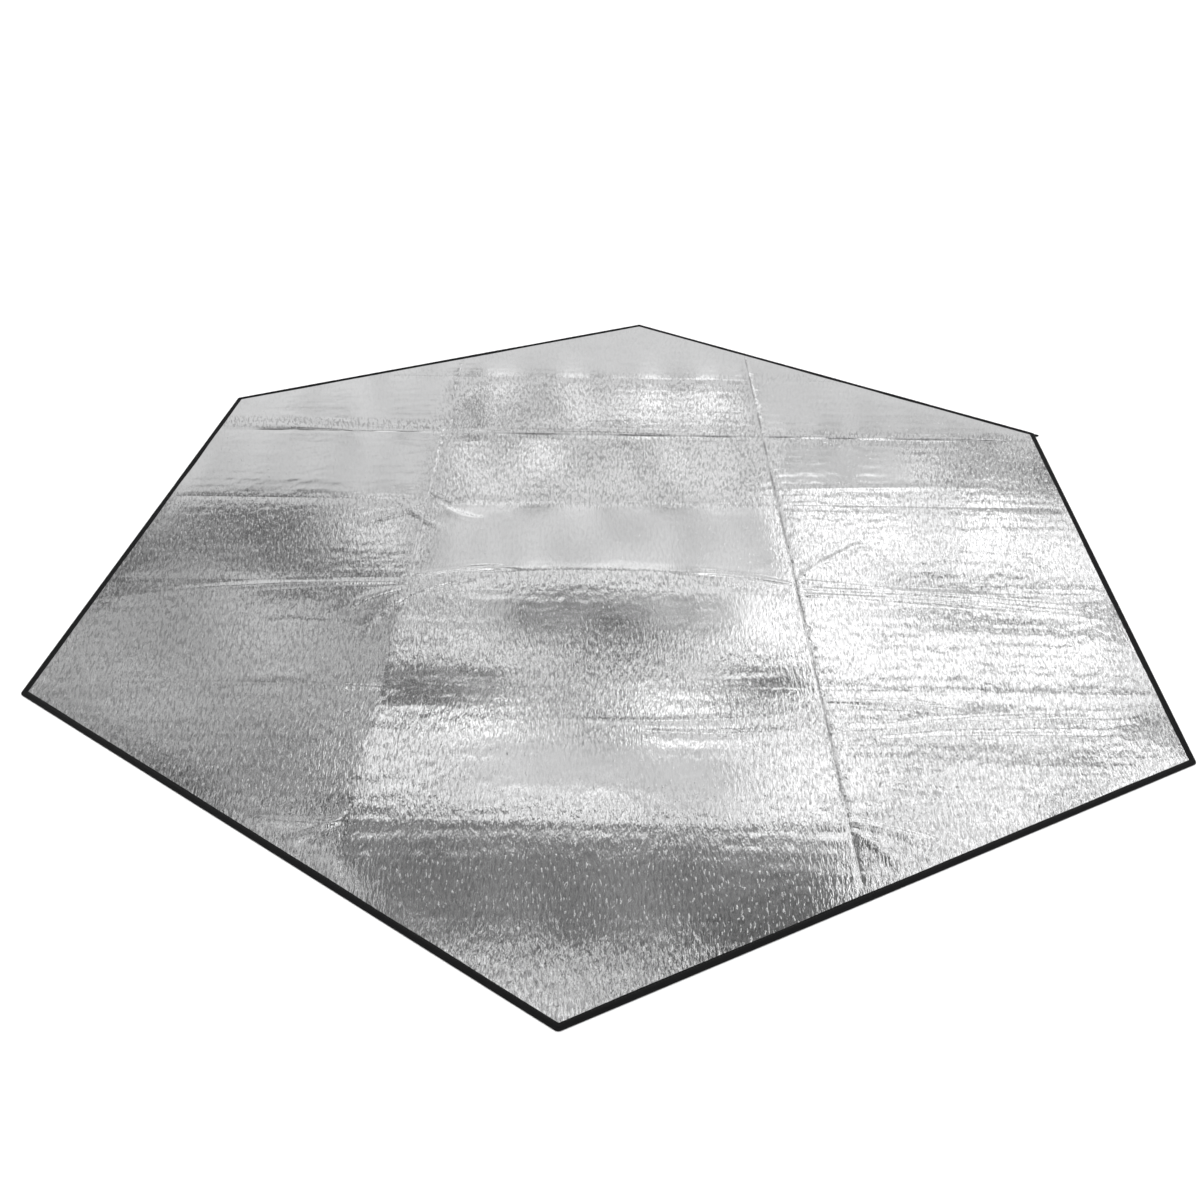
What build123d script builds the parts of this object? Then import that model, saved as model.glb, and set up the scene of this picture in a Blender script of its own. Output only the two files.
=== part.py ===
from build123d import *
import os
from math import cos, radians, sin

# Hexagonal foam sleeping pad for a tent floor.
# A thin closed-cell foam sheet carries an embossed metallised film on its upper face.
# A woven tape is folded over the whole edge and sewn, and its tail laps past one corner.
# Two long creases and six cross creases press the sheet into 3 columns by 7 rows of
# panels, so that the side columns fold over the middle one and the rows fold as an accordion.
#
# Frame: millimetres, +Z up, origin at the hexagon's centre on the ground.
# The cross creases run along X and the long creases along Y.
# Row 1 holds the corner at -Y and row 7 the corner at +Y.

# Outline
CORNER_RADIUS = 1300.0  # centre to a finished corner
OUTLINE_TURN = -3.7  # degrees that the outline was cut askew of the creases
CORNER_ROUNDING = 10.0  # where the tape is eased round a corner

# Sheet, from the ground up
FOAM_TOP = 2.9
FILM_TOP = 3.0

# Edge tape
TAPE_THICKNESS = 0.5
TAPE_COVER = 13.0  # width that the tape covers on each face
TAPE_TOP = FILM_TOP + TAPE_THICKNESS
TAIL_REACH = 16.0  # the tape's end sticks out past its corner
TAIL_THICKNESS = 1.2
TAIL_CORNER = 30.0 + OUTLINE_TURN  # direction of that corner, in degrees

# Creases
ROW_PITCH = 354.0
ROW_CREASES = [(k - 2.5) * ROW_PITCH for k in range(6)]
LEFT_CREASE = -462.0
RIGHT_CREASE = 408.0
CREASE_GAP = 1.0  # crushed foam between two panels, left open

# Loft: how far the soft panels puff up above the flat film when nothing presses on them
CENTRE_LOFT = 5.0
SIDE_LOFT = 2.5
LAYER_GAP = 0.5  # free space left between folded layers

# Fold axes, above the ground: each is halfway between the two faces that it brings together
LEFT_FOLDED_TOP = 2 * FILM_TOP + CENTRE_LOFT + SIDE_LOFT + LAYER_GAP
LEFT_AXIS_Z = LEFT_FOLDED_TOP / 2  # left panels lie face down on the middle ones
STACK_TOP = LEFT_FOLDED_TOP + LAYER_GAP + FILM_TOP + SIDE_LOFT
RIGHT_AXIS_Z = STACK_TOP / 2  # right panels lie face down on the left ones
VALLEY_AXIS_Z = STACK_TOP + LAYER_GAP / 2  # rows 2, 4 and 6 lie face down on rows 1, 3 and 5
RIDGE_AXIS_Z = -LAYER_GAP / 2  # rows 3, 5 and 7 lie back to back on rows 2, 4 and 6

FAR = 2 * CORNER_RADIUS  # past the sheet on every side

ROWS = range(1, len(ROW_CREASES) + 2)
COLUMNS = {
    "left": (-FAR, LEFT_CREASE),
    "centre": (LEFT_CREASE, RIGHT_CREASE),
    "right": (RIGHT_CREASE, FAR),
}


def outline(inset):
    """The finished hexagon moved inwards by inset, with its corners eased."""
    radius = CORNER_RADIUS - inset / cos(radians(30))
    face = Rot(0, 0, OUTLINE_TURN + 30) * RegularPolygon(radius, 6)
    rounding = CORNER_ROUNDING - inset
    if rounding > 0:
        face = fillet(face.vertices(), rounding)
    return face


def slab(inset, bottom, top):
    """The inset outline, filled from bottom to top."""
    return Pos(0, 0, bottom) * extrude(outline(inset), top - bottom)


def cell(row, column):
    """The space of one panel, between its creases."""
    half_gap = CREASE_GAP / 2
    edges = [-FAR, *ROW_CREASES, FAR]
    near, away = edges[row - 1] + half_gap, edges[row] - half_gap
    left, right = (COLUMNS[column][0] + half_gap, COLUMNS[column][1] - half_gap)
    height = 4 * TAPE_TOP
    middle = Pos((left + right) / 2, (near + away) / 2, TAPE_TOP / 2)
    return middle * Box(right - left, away - near, height)


def foam_sheet():
    """The whole foam sheet: its edge is squeezed from below by the tape."""
    squeezed = slab(TAPE_THICKNESS, TAPE_THICKNESS, FOAM_TOP)
    return slab(TAPE_COVER, 0, FOAM_TOP) + squeezed


def film_sheet():
    """The metallised film on the foam, out to the fold of the tape."""
    return slab(TAPE_THICKNESS, FOAM_TOP, FILM_TOP)


def edge_tape():
    """The tape all round: an upper and a lower lip joined outside the foam."""
    solid_rim = slab(0, 0, TAPE_TOP) - slab(TAPE_COVER, 0, TAPE_TOP)
    return solid_rim - slab(TAPE_THICKNESS, TAPE_THICKNESS, FILM_TOP)


def tape_tail():
    """The flat end of the tape, past the corner where it started."""
    corner = Pos(
        CORNER_RADIUS * cos(radians(TAIL_CORNER)),
        CORNER_RADIUS * sin(radians(TAIL_CORNER)),
    )
    along = Rot(0, 0, TAIL_CORNER - 60)
    reach = TAIL_REACH + CORNER_ROUNDING
    strip = Rectangle(2 * reach, TAPE_COVER, align=(Align.CENTER, Align.MAX))
    strip = fillet(strip.vertices().sort_by(Axis.X)[-2:], 0.45 * TAPE_COVER)
    bottom = (TAPE_TOP - TAIL_THICKNESS) / 2
    tail = corner * along * Pos(0, 0, bottom) * extrude(strip, TAIL_THICKNESS)
    return tail - slab(0, -TAPE_TOP, 2 * TAPE_TOP)


def write(shape, name):
    """One STEP file for one node."""
    export_step(shape, f"parts/{name}.step")


def print_axes():
    """The fold axes, which the record repeats."""
    print("creases across:", ROW_CREASES, "along:", LEFT_CREASE, RIGHT_CREASE)
    print("left and right fold axes at z", LEFT_AXIS_Z, RIGHT_AXIS_Z)
    print("valley and ridge axes of the rows at z", VALLEY_AXIS_Z, RIDGE_AXIS_Z)


def main():
    print_axes()
    os.makedirs("parts", exist_ok=True)
    sheets = {"foam": foam_sheet(), "foil": film_sheet(), "binding": edge_tape()}
    for row in ROWS:
        for column in COLUMNS:
            space = cell(row, column)
            for kind, sheet in sheets.items():
                pieces = (sheet & space).solids() if sheet & space else []
                if pieces:
                    write(Compound(children=pieces), f"{kind}_row{row}_{column}")
    write(tape_tail(), "binding_tail")


main()
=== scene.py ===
from math import cos, radians, sin, sqrt

import bmesh
import bpy
import numpy as np
from mathutils import Matrix, Vector

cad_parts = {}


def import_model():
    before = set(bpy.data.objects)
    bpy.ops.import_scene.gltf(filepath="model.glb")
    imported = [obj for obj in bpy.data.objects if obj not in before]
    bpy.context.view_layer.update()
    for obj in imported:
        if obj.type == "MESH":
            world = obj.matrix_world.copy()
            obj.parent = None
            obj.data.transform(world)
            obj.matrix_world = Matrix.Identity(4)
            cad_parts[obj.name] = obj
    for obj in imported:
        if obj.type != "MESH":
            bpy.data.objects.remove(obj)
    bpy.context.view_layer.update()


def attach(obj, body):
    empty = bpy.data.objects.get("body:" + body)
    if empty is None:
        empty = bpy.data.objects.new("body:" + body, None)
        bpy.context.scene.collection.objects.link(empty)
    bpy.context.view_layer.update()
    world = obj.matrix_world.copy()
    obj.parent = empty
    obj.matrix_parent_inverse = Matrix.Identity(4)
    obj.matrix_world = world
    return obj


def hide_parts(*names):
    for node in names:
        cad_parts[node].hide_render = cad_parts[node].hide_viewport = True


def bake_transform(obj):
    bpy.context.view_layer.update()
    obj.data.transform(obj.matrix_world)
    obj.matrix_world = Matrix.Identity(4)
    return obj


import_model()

# Hexagonal foam sleeping pad with a metallised face: all lengths in metres, +Z up.

# ---------------------------------------------------------------- sizes, as in the CAD
RADIUS = 1.300
TURN = radians(-3.7)
FILM_TOP = 0.0030
TAPE_TOP = 0.0035
TAPE_COVER = 0.013
CORNER_ROUNDING = 0.010
PITCH = 0.354
ROW_CREASES = [(k - 2.5) * PITCH for k in range(6)]
LEFT, RIGHT = -0.462, 0.408
MIDDLE = (LEFT + RIGHT) / 2
SIDE_END, ROW_END = 1.175, 1.300  # where the meshes stop, at or past the outline
CENTRE_LOFT, SIDE_LOFT = 0.0050, 0.0025
ROWS = range(1, 8)
COLUMNS = ("left", "centre", "right")

# half widths of the strips that bend across the creases
VALLEY_HALF = 0.030
RIDGE_HALF = 0.008
LEFT_HALF = 0.011
RIGHT_HALF = 0.015

# a hair's breadth between neighbouring pieces
SEAM = 0.0001

FLAT_STEP = (0.0085, 0.0045)  # mesh pitch of the film, across and along
FOAM_STEP = (0.020, 0.012)

SKIN = 0.0009  # the laminated skin of film and foam, modelled as one piece


def hexagon(inset):
    """Corners of the outline moved inwards, anticlockwise from the one nearest +X."""
    r = RADIUS - inset / cos(radians(30))
    return [
        Vector((r * cos(radians(60 * i + 30) + TURN), r * sin(radians(60 * i + 30) + TURN)))
        for i in range(6)
    ]


def edge_distance(x, y):
    """Distance inwards from the nearest side of the outline."""
    apothem = RADIUS * cos(radians(30))
    far = np.full(np.shape(x), -1e9)
    for i in range(6):
        a = TURN + radians(60 * i)
        far = np.maximum(far, x * cos(a) + y * sin(a))
    return apothem - far


# ---------------------------------------------------------------- the face's relief
def smooth(lo, hi, v):
    t = np.clip((v - lo) / (hi - lo), 0, 1)
    return t * t * (3 - 2 * t)


def bump(v, middle, half):
    """A smooth hump, 1 at its middle and 0 past its half width."""
    t = np.clip(np.abs(v - middle) / half, 0, 1)
    return (1 - t * t) ** 2


class Ripples:
    """Smooth repeatable noise: a sum of sines with seeded directions."""

    def __init__(self, seed, wave_x, wave_y, count=24):
        rng = np.random.default_rng(seed)
        a = rng.uniform(0, 2 * np.pi, count)
        scale = rng.uniform(0.6, 1.7, count)
        self.kx = 2 * np.pi * np.cos(a) / wave_x * scale
        self.ky = 2 * np.pi * np.sin(a) / wave_y * scale
        self.phase = rng.uniform(0, 2 * np.pi, count)
        self.gain = sqrt(2.0 / count)

    def __call__(self, x, y):
        total = np.zeros(np.shape(x))
        for kx, ky, p in zip(self.kx, self.ky, self.phase):
            total += np.sin(kx * x + ky * y + p)
        return total * self.gain


streaks = Ripples(11, 0.60, 0.046, 40)
fine_streaks = Ripples(19, 0.22, 0.020, 40)
crumple = Ripples(27, 0.034, 0.046, 48)
pressed_unevenly = Ripples(31, 0.21, 5.0, 16)

# puff of each row, from the near corner to the far one, as a share of the column's loft
CENTRE_PUFF = (0.00, 0.00, 0.00, 0.07, 0.06, 0.10, 0.05)
LEFT_PUFF = (0.10, 0.14, 0.16, 0.20, 0.12, 0.12, 0.10)
RIGHT_PUFF = (0.10, 0.14, 0.16, 0.16, 0.12, 0.12, 0.10)

# depth of the grooves along the cross creases and the long ones, as shares of the full depth
CROSS_GROOVES = (0.00, 0.00, 0.00, 0.08, 0.40, 0.08)
LONG_GROOVES = ((LEFT, 0.12), (RIGHT, 0.55))

COLUMN_HALF = 0.44  # of the middle column, where its far creases are bowed
PUFF_SHARE = 0.93  # share of the full loft that a puffed cell reaches
HIGHEST_RISE = 0.0048  # the relief flattens out above this
GROOVE_HALF, GROOVE_DEPTH = 0.0032, 0.0010  # on the face
UNDER_HALF, UNDER_DEPTH = 0.0035, 0.0006  # on the underside
RIDGE_HEIGHT, RIDGE_REACH = 0.0015, 0.045

# (x0, y0, x1, y1, sideways bow, half width, height): long soft folds that run into the creases
FOLDS = [
    (0.41, -0.180, 1.12, -0.245, 0.010, 0.012, 0.0009),
    (0.42, -0.205, 1.10, -0.285, 0.012, 0.010, 0.0008),
    (0.42, -0.150, 0.95, -0.195, -0.012, 0.009, 0.0006),
    (0.43, -0.130, 0.62, 0.020, 0.010, 0.009, 0.0010),
    (0.41, -0.560, 0.70, -0.585, 0.006, 0.008, 0.0010),
    (0.52, -0.640, 1.08, -0.600, 0.012, 0.011, 0.0010),
    (0.50, -0.670, 1.07, -0.655, 0.008, 0.010, 0.0007),
    (0.41, -0.880, 0.60, -0.965, 0.012, 0.010, 0.0011),
    (0.41, -0.900, 0.50, -1.010, 0.008, 0.008, 0.0009),
    (0.41, 0.530, 1.10, 0.525, 0.006, 0.007, 0.0007),
    (0.42, 0.250, 1.00, 0.270, 0.008, 0.012, 0.0005),
    (-0.47, -0.180, -1.10, -0.255, -0.020, 0.011, 0.0010),
    (-0.47, -0.200, -0.62, -0.330, -0.020, 0.010, 0.0010),
    (-0.46, -0.230, -0.55, -0.420, -0.015, 0.010, 0.0009),
    (-0.60, -0.500, -1.15, -0.545, 0.012, 0.022, 0.0005),
    (-0.47, -0.540, -0.70, -0.500, 0.010, 0.010, 0.0006),
    (-0.48, -0.900, -0.78, -0.860, 0.015, 0.012, 0.0010),
    (-0.47, -0.880, -0.64, -0.990, 0.012, 0.010, 0.0010),
    (-0.47, 0.180, -0.62, 0.060, 0.016, 0.010, 0.0009),
    (-0.47, 0.540, -1.08, 0.590, 0.020, 0.010, 0.0004),
    (-0.47, 0.560, -1.00, 0.640, 0.018, 0.009, 0.0004),
    (-0.46, 0.560, -0.40, 0.860, 0.020, 0.012, 0.0009),
    (-0.45, 0.175, -0.30, 0.080, -0.020, 0.012, 0.0006),
    (-0.53, 0.165, -0.41, 0.040, -0.006, 0.007, 0.0011),
    (-0.46, 0.215, -0.36, 0.150, -0.008, 0.007, 0.0010),
    (-0.46, -0.235, -0.30, -0.150, 0.014, 0.008, 0.0008),
    (-0.45, -0.150, -0.20, -0.115, 0.012, 0.008, 0.0010),
    (0.40, -0.165, 0.12, -0.120, -0.012, 0.008, 0.0010),
    (-0.10, -0.625, 0.40, -0.590, -0.016, 0.008, 0.0004),
    (0.05, -0.655, 0.40, -0.640, -0.012, 0.008, 0.0004),
    (-0.42, 0.545, 0.40, 0.535, 0.012, 0.008, 0.0008),
]


def folds(x, y):
    """The long soft folds, added up."""
    total = np.zeros(np.shape(x))
    for x0, y0, x1, y1, bow, half, high in FOLDS:
        dx, dy = x1 - x0, y1 - y0
        length = sqrt(dx * dx + dy * dy)
        along = ((x - x0) * dx + (y - y0) * dy) / length**2
        off = ((y - y0) * dx - (x - x0) * dy) / length
        off = off - bow * 4 * along * (1 - along)
        near = smooth(-0.04, 0.06, along) * (1 - smooth(0.55, 1.05, along))
        width = half * (0.7 + 0.8 * np.clip(along, 0, 1))
        total += high * near * np.exp(-((off / width) ** 2))
    return total


def pillow(x, y, x0, x1, y0, y1, square):
    """A puffed cell, 1 at its crest and 0 on its creases, with rounded corners."""
    u = np.abs((x - (x0 + x1) / 2) / ((x1 - x0) / 2))
    v = np.abs((y - (y0 + y1) / 2) / ((y1 - y0) / 2))
    return np.clip(1 - u**square, 0, 1) * np.clip(1 - v**10, 0, 1)


def puffs(x, y):
    """All the puffed cells."""
    edges = [-1.36, *ROW_CREASES, 1.36]
    # the third row's full cell pushes its far crease back in the middle
    bulge = 0.060 * np.clip(1 - ((x - MIDDLE) / COLUMN_HALF) ** 2, 0, 1)
    bulged = bulge * bump(y, ROW_CREASES[2] + 0.02, 0.15)
    total = np.zeros(np.shape(x))
    for i in range(7):
        y0, y1 = edges[i], edges[i + 1]
        shift = bulged if i in (2, 3) else 0
        cell = pillow(x, y - shift, LEFT, RIGHT, y0, y1, 24)
        total += CENTRE_LOFT * CENTRE_PUFF[i] * cell * ((x > LEFT) & (x < RIGHT))
        cell = pillow(x, y, -1.45, LEFT, y0, y1, 40)
        total += SIDE_LOFT * LEFT_PUFF[i] * cell * (x <= LEFT)
        cell = pillow(x, y, RIGHT, 1.42, y0, y1, 40)
        total += SIDE_LOFT * RIGHT_PUFF[i] * cell * (x >= RIGHT)
    return total


def creases(x, y, half, deep):
    """Pressed grooves along the long creases, and faint broken ones along the cross creases."""
    total = np.zeros(np.shape(x))
    for at, share in LONG_GROOVES:
        total = np.maximum(total, share * np.exp(-np.abs((x - at) / half) ** 1.5))
    broken = np.clip(0.5 + 0.6 * pressed_unevenly(x, y), 0.1, 1.3)
    for at, share in zip(ROW_CREASES, CROSS_GROOVES):
        total = np.maximum(total, share * broken * np.exp(-np.abs((y - at) / half) ** 1.5))
    return deep * total


def lively(x, y):
    """How rumpled the film is: little on the flat middle row and far corner, more beside creases."""
    right_side = 2.2 - 1.3 * smooth(0.10, 0.32, y)
    side = np.where(x < LEFT, 1.0, np.where(x > RIGHT, right_side, 0.65))
    calm = 1 - 0.75 * bump(y, 0.03, 0.22) * ((x > LEFT) & (x < RIGHT))
    calm = calm * (1 - 0.6 * smooth(0.80, 1.05, y))
    near = np.zeros(np.shape(x))
    for at in (LEFT, RIGHT):
        near = np.maximum(near, np.exp(-np.abs(x - at) / 0.10))
    return side * calm * (0.7 + 0.9 * near)


# (x0, x1, y0, y1, soft edge, emboss density): where it differs from the rest; the density also scales the
# painted shade in the emboss' pits
GRAINY = [
    (-0.462, 0.408, 0.177, 0.531, 0.020, 0.50),
    (-0.462, 0.408, 0.531, 0.885, 0.030, 0.50),
    (-1.20, 1.20, 0.90, 1.40, 0.05, 0.20),
    (-1.30, -0.48, 0.19, 0.90, 0.05, 0.19),
    (-1.30, -0.44, 0.545, 0.605, 0.012, 0.50),
    (-1.30, -0.462, -0.20, 0.19, 0.02, 0.46),
    (-1.30, -0.462, -1.00, -0.20, 0.02, 0.45),
    (0.408, 1.200, 0.56, 0.90, 0.04, 0.20),
    (0.408, 1.200, 0.20, 0.55, 0.02, 0.50),
    (0.43, 0.76, 0.27, 0.49, 0.04, 0.20),
    (0.408, 1.300, -0.90, 0.19, 0.02, 0.46),
    (-0.462, 0.408, -0.885, -0.531, 0.020, 0.48),
    (-0.25, 0.20, -0.83, -0.69, 0.09, 0.20),
    (-0.462, 0.408, -0.531, -0.100, 0.020, 0.50),
    (-0.30, 0.33, -0.34, -0.19, 0.06, 0.22),
    (-0.46, -0.22, -0.585, -0.475, 0.03, 0.24),
    (0.16, 0.40, -0.545, -0.465, 0.03, 0.28),
    (-0.43, 0.375, -0.122, 0.160, 0.030, 0.21),
    (-0.462, 0.408, -1.135, -0.90, 0.012, 0.32),
]


def emboss_density(x, y):
    """How much of the film the emboss covers, from 0 to 1."""
    density = np.full(np.shape(x), 0.50)
    off = np.clip(np.abs(x - MIDDLE) / COLUMN_HALF, 0, 1)
    y = y + 0.05 * off**2 * bump(y, -0.15, 0.16)
    for x0, x1, y0, y1, soft, amount in GRAINY:
        inside = np.minimum(np.minimum(x - x0, x1 - x), np.minimum(y - y0, y1 - y))
        density += (amount - density) * smooth(-soft, soft, inside)
    return density


# (crease, half width, share darkened): dark lines of painted shade along the creases
LONG_CREASE_SHADE = ((LEFT, 0.0020, 0.20), (RIGHT, 0.0024, 0.70))
ROW_CREASE_SHADE = (ROW_CREASES[4], 0.0055, 0.80)


def painted_crease_shade(x, y):
    """How much painted shade darkens the film along the creases, from 0 to 1."""
    crease_shade = np.zeros(np.shape(x))
    for at, half, share in LONG_CREASE_SHADE:
        broken = np.clip(0.8 + 0.5 * pressed_unevenly(y, x), 0.3, 1.2)
        crease_shade = np.maximum(crease_shade, share * broken * np.exp(-(((x - at) / half) ** 2)))
    broken = np.clip(0.8 + 0.5 * pressed_unevenly(x, y), 0.3, 1.2) * smooth(-0.46, -0.34, x)
    at, half, share = ROW_CREASE_SHADE
    crease_shade = np.maximum(crease_shade, share * broken * np.exp(-(((y - at) / half) ** 2)))
    return crease_shade * free(x, y)


def free(x, y):
    """0 under the edge tape and 1 well inside it."""
    return smooth(0.011, 0.060, edge_distance(x, y))


def sheet_rise(x, y):
    """How far the whole sheet stands off the ground."""
    return free(x, y) * np.maximum(PUFF_SHARE * puffs(x, y) + 0.4 * np.minimum(folds(x, y), 0), 0)


def left_ridge(x, y):
    """The film stands up a little along the left crease of the near rows."""
    return RIDGE_HEIGHT * np.exp(-np.abs(x - LEFT) / RIDGE_REACH) * (1 - smooth(-0.25, -0.05, y))


def film_top(x, y):
    """Height of the film's upper face."""
    rumple = 0.00004 * streaks(x, y) + 0.000012 * fine_streaks(x, y) + 0.00003 * crumple(x, y)
    rise = PUFF_SHARE * puffs(x, y) + left_ridge(x, y) + folds(x, y) + lively(x, y) * rumple
    rise = np.minimum(rise, HIGHEST_RISE + 0.1 * (rise - HIGHEST_RISE))
    return FILM_TOP + free(x, y) * (rise - creases(x, y, GROOVE_HALF, GROOVE_DEPTH))


def foam_top(x, y):
    """Where the laminated skin meets the foam: it doesn't follow the finest rumples."""
    rise = np.minimum(PUFF_SHARE * puffs(x, y) + np.minimum(folds(x, y), 0), HIGHEST_RISE)
    return FILM_TOP - SKIN + free(x, y) * (rise - creases(x, y, GROOVE_HALF, GROOVE_DEPTH))


def foam_bottom(x, y):
    """Height of the foam's underside, lifted where the tape's lower lip is."""
    lip = 0.0006 * (1 - smooth(0.013, 0.027, edge_distance(x, y)))
    pressed = free(x, y) * creases(x, y, UNDER_HALF, UNDER_DEPTH)
    return sheet_rise(x, y) + lip + pressed


# ---------------------------------------------------------------- meshes
def lines(breaks, step, fine):
    """Grid lines from one break to the next; the stretches in fine have their own pitch."""
    out = [breaks[0]]
    for a, b in zip(breaks, breaks[1:]):
        pitch = fine.get((round(a, 5), round(b, 5)), step)
        n = max(1, round((b - a) / pitch))
        out += [a + (b - a) * (i + 1) / n for i in range(n)]
    return np.array(out)


def half_of(index):
    """Half width of the strip across a row crease: even ones fold up, odd ones down."""
    return VALLEY_HALF if index % 2 == 0 else RIDGE_HALF


X_BREAKS = [
    -SIDE_END, LEFT - LEFT_HALF, LEFT, LEFT + LEFT_HALF,
    RIGHT - RIGHT_HALF, RIGHT, RIGHT + RIGHT_HALF, SIDE_END,
]
Y_BREAKS = [-ROW_END]
for i, crease in enumerate(ROW_CREASES):
    Y_BREAKS += [crease - half_of(i), crease, crease + half_of(i)]
Y_BREAKS.append(ROW_END)


def fine_pitch(breaks, creases_at, pitch):
    """Finer pitch for the stretches that touch a crease."""
    fine = {}
    for a, b in zip(breaks, breaks[1:]):
        if a in creases_at or b in creases_at:
            fine[(round(a, 5), round(b, 5))] = pitch
    return fine


def grid_lines(step, strip_pitch):
    x_fine = fine_pitch(X_BREAKS[1:-1], (LEFT, RIGHT), strip_pitch)
    y_fine = fine_pitch(Y_BREAKS, ROW_CREASES, strip_pitch)
    return lines(X_BREAKS, step[0], x_fine), lines(Y_BREAKS, step[1], y_fine)


FILM_LINES = grid_lines(FLAT_STEP, 0.0017)  # the second pitch is the one beside the creases
FOAM_LINES = grid_lines(FOAM_STEP, 0.0034)


def clipped_grid(grid, x0, x1, y0, y1, inset):
    """The grid's cells between the limits, cut off along the inset outline."""
    ends = zip(grid, (x0, y0), (x1, y1))
    xs, ys = (g[(g >= lo - 1e-6) & (g <= hi + 1e-6)].copy() for g, lo, hi in ends)
    xs[0] += SEAM
    xs[-1] -= SEAM
    ys[0] += SEAM
    ys[-1] -= SEAM
    bm = bmesh.new()
    rows = [[bm.verts.new((x, y, 0)) for x in xs] for y in ys]
    for low, high in zip(rows, rows[1:]):
        for i in range(len(xs) - 1):
            bm.faces.new((low[i], low[i + 1], high[i + 1], high[i]))
    apothem = RADIUS * cos(radians(30)) - inset
    for i in range(6):
        a = TURN + radians(60 * i)
        way = Vector((cos(a), sin(a), 0))
        if max(Vector((x, y, 0)).dot(way) for x in (x0, x1) for y in (y0, y1)) <= apothem:
            continue
        everything = bm.verts[:] + bm.edges[:] + bm.faces[:]
        bmesh.ops.bisect_plane(
            bm, geom=everything, dist=1e-6, plane_co=way * apothem, plane_no=way, clear_outer=True
        )
    bmesh.ops.remove_doubles(bm, verts=bm.verts[:], dist=2e-5)
    return bm


def slab(name, grid, limits, inset, top, bottom):
    """A closed sheet over part of the outline: upper face in material 0, the rest in material 1."""
    bm = clipped_grid(grid, *limits, inset)
    bm.verts.index_update()
    flat = np.array([v.co[:2] for v in bm.verts])
    faces = [[v.index for v in f.verts] for f in bm.faces]
    rim_loops = [e.link_loops[0] for e in bm.edges if len(e.link_loops) == 1]
    rim = [(loop.vert.index, loop.link_loop_next.vert.index) for loop in rim_loops]
    bm.free()
    n = len(flat)
    upper = np.column_stack([flat, top(flat[:, 0], flat[:, 1])])
    lower = np.column_stack([flat, bottom(flat[:, 0], flat[:, 1])])
    lower[:, 2] = np.minimum(lower[:, 2], upper[:, 2] - 0.00005)
    sides = [(b, a, a + n, b + n) for a, b in rim]
    under = [[i + n for i in reversed(f)] for f in faces]
    mesh = bpy.data.meshes.new(name)
    mesh.from_pydata(np.vstack([upper, lower]).tolist(), [], faces + under + sides)
    below = np.ones(len(mesh.polygons), np.int32)
    below[: len(faces)] = 0
    finish_mesh(mesh)
    add_emboss(mesh, np.vstack([flat, flat]))
    mesh.attributes.new("material_index", "INT", "FACE")
    mesh.attributes["material_index"].data.foreach_set("value", below)
    return new_object(name, mesh)


def finish_mesh(mesh, angle=40):
    """Smooth shading with sharp edges kept, and each point's place at rest as a UV in metres."""
    mesh.validate()
    mesh.update()
    mesh.shade_smooth()
    mesh.set_sharp_from_angle(angle=radians(angle))
    places = np.zeros(len(mesh.vertices) * 3, np.float32)
    mesh.vertices.foreach_get("co", places)
    corners = np.zeros(len(mesh.loops), np.int32)
    mesh.loops.foreach_get("vertex_index", corners)
    flat = places.reshape(-1, 3)[corners, :2]
    layer = mesh.uv_layers.new(name="place")
    layer.data.foreach_set("uv", flat.astype(np.float32).ravel())


def add_emboss(mesh, flat):
    """The emboss' density and the painted shade along the creases at each point, and the emboss' grains
    as a UV.

    The grains grow coarser towards the far side.
    """
    layer = mesh.attributes.new("emboss", "FLOAT", "POINT")
    layer.data.foreach_set("value", emboss_density(flat[:, 0], flat[:, 1]).astype(np.float32))
    # the painted shade along the creases
    layer = mesh.attributes.new("crease_shade", "FLOAT", "POINT")
    layer.data.foreach_set("value", painted_crease_shade(flat[:, 0], flat[:, 1]).astype(np.float32))
    corners = np.zeros(len(mesh.loops), np.int32)
    mesh.loops.foreach_get("vertex_index", corners)
    x, y = flat[corners, 0], flat[corners, 1]
    grains = np.column_stack([x * (0.9 - 0.22 * y), 0.9 * y - 0.11 * y * y])
    layer = mesh.uv_layers.new(name="grains")
    layer.data.foreach_set("uv", grains.astype(np.float32).ravel())


def new_object(name, mesh):
    obj = bpy.data.objects.new(name, mesh)
    bpy.context.scene.collection.objects.link(obj)
    return obj


def bm_object(name, bm, angle=40):
    bmesh.ops.recalc_face_normals(bm, faces=bm.faces[:])
    mesh = bpy.data.meshes.new(name)
    bm.to_mesh(mesh)
    bm.free()
    finish_mesh(mesh, angle)
    return new_object(name, mesh)


# ---------------------------------------------------------------- edge tape
def outline_stations(step):
    """Stations round the outline: (distance run, side or corner, and what places it)."""
    outer = hexagon(0)
    middle = hexagon(CORNER_ROUNDING)
    cut = CORNER_ROUNDING / sqrt(3)
    stations = []
    run = 0.0
    for i in range(6):
        a, b, c = outer[i], outer[(i + 1) % 6], outer[(i + 2) % 6]
        along, after = (b - a).normalized(), (c - b).normalized()
        inward, next_inward = Vector((-along.y, along.x)), Vector((-after.y, after.x))
        length = (b - a).length
        n = round((length - 2 * cut) / step)
        for k in range(n + 1):
            at = cut + (length - 2 * cut) * k / n
            stations.append((run + at, "side", (a, along, inward, at, length)))
        for k in range(1, 6):
            turn = inward.lerp(next_inward, k / 6).normalized()
            at = length - cut + 2 * cut * k / 6
            stations.append((run + at, "corner", (middle[(i + 1) % 6], turn, b)))
        run += length
    return stations, run


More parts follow.
